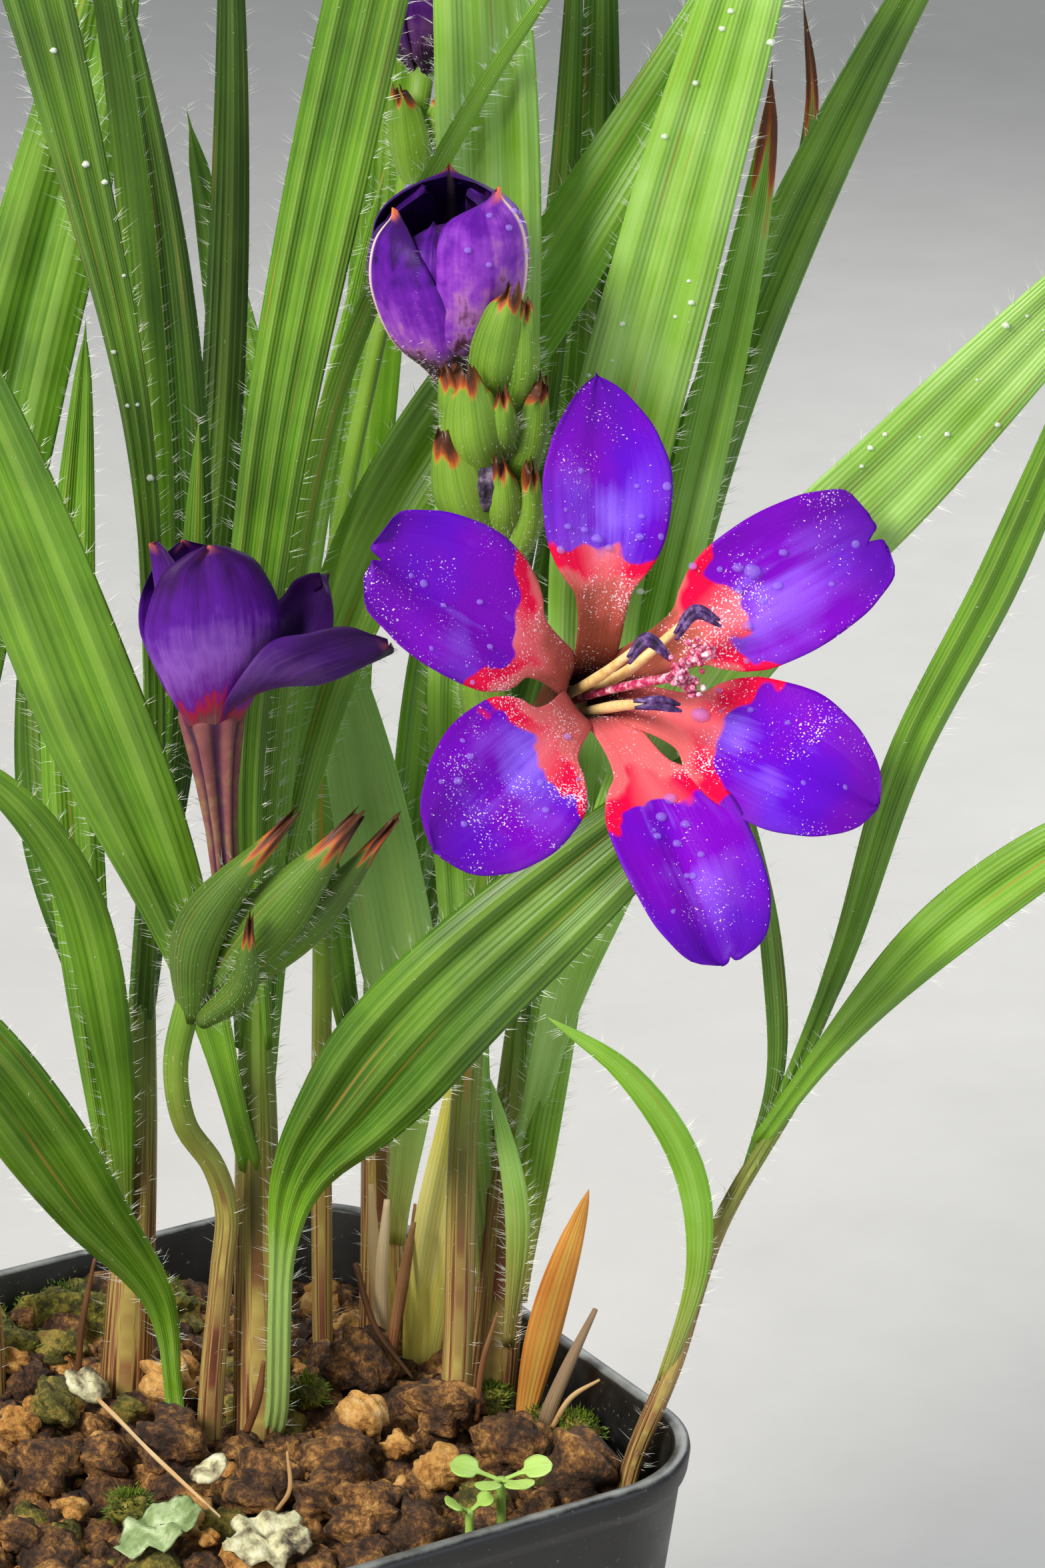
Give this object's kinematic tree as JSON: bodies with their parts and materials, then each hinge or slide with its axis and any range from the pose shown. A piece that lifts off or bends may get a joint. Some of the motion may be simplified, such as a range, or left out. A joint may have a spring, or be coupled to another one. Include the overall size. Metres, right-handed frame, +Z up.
{
  "type": "potted baboon flower",
  "caption": "Baboon flower bulb plant with pleated hairy leaves and violet and red cup-shaped blooms, growing in a square black nursery pot of gritty soil.",
  "frame": {"origin": "centre of the pot's base, on the surface that the pot stands on", "axes": "+Z straight up, X and Y parallel to the sides of the square pot; the open bloom looks towards -Y and a little towards -X"},
  "size_m": [0.118, 0.0955, 0.2581],
  "materials": {
    "pot": "thin black plastic, slightly glossy, with a scuffed light-grey rim edge and dust",
    "soil": "gritty clods of brown and rust-coloured potting grit with tan pumice, moss and pale lichen chips",
    "corm": "dry fibrous brown tunic",
    "leaf": "fresh green pleated leaf with fine pale veins and soft white hairs",
    "leaf_dead": "dry papery leaf, orange to straw brown",
    "petal": "velvety violet-blue with a crimson zone and a salmon claw",
    "petal_dark": "velvety dark violet shading to a pink-brown ribbed tube",
    "stamen": "cream filaments with dark violet anthers",
    "style": "pink-red style with frilled branches",
    "weed": "soft light green seed leaves"
  },
  "bodies": {
    "root": {"pot": "pot", "soil": "soil", "corm_front": "corm", "corm_left": "corm", "corm_far_left": "corm", "corm_back": "corm", "corm_right": "corm", "corm_seedling": "corm", "shoot_front": "leaf", "shoot_low_left": "leaf", "shoot_left": "leaf", "shoot_far_left": "leaf", "shoot_back": "leaf", "leaf_yellowed": "leaf", "shoot_right": "leaf", "leaf_dead": "leaf_dead", "stub_dead": "leaf_dead", "shoot_seedling": "leaf", "spike_main": "leaf", "spike_left": "leaf", "spike_back": "leaf", "bloom_open_tepals": "petal", "bloom_open_stamens": "stamen", "bloom_open_style": "style", "bud_half_open": "petal", "bud_back": "petal_dark", "bloom_side": "petal_dark", "weed_large": "weed", "weed_small": "weed"}
  },
  "joints": []
}
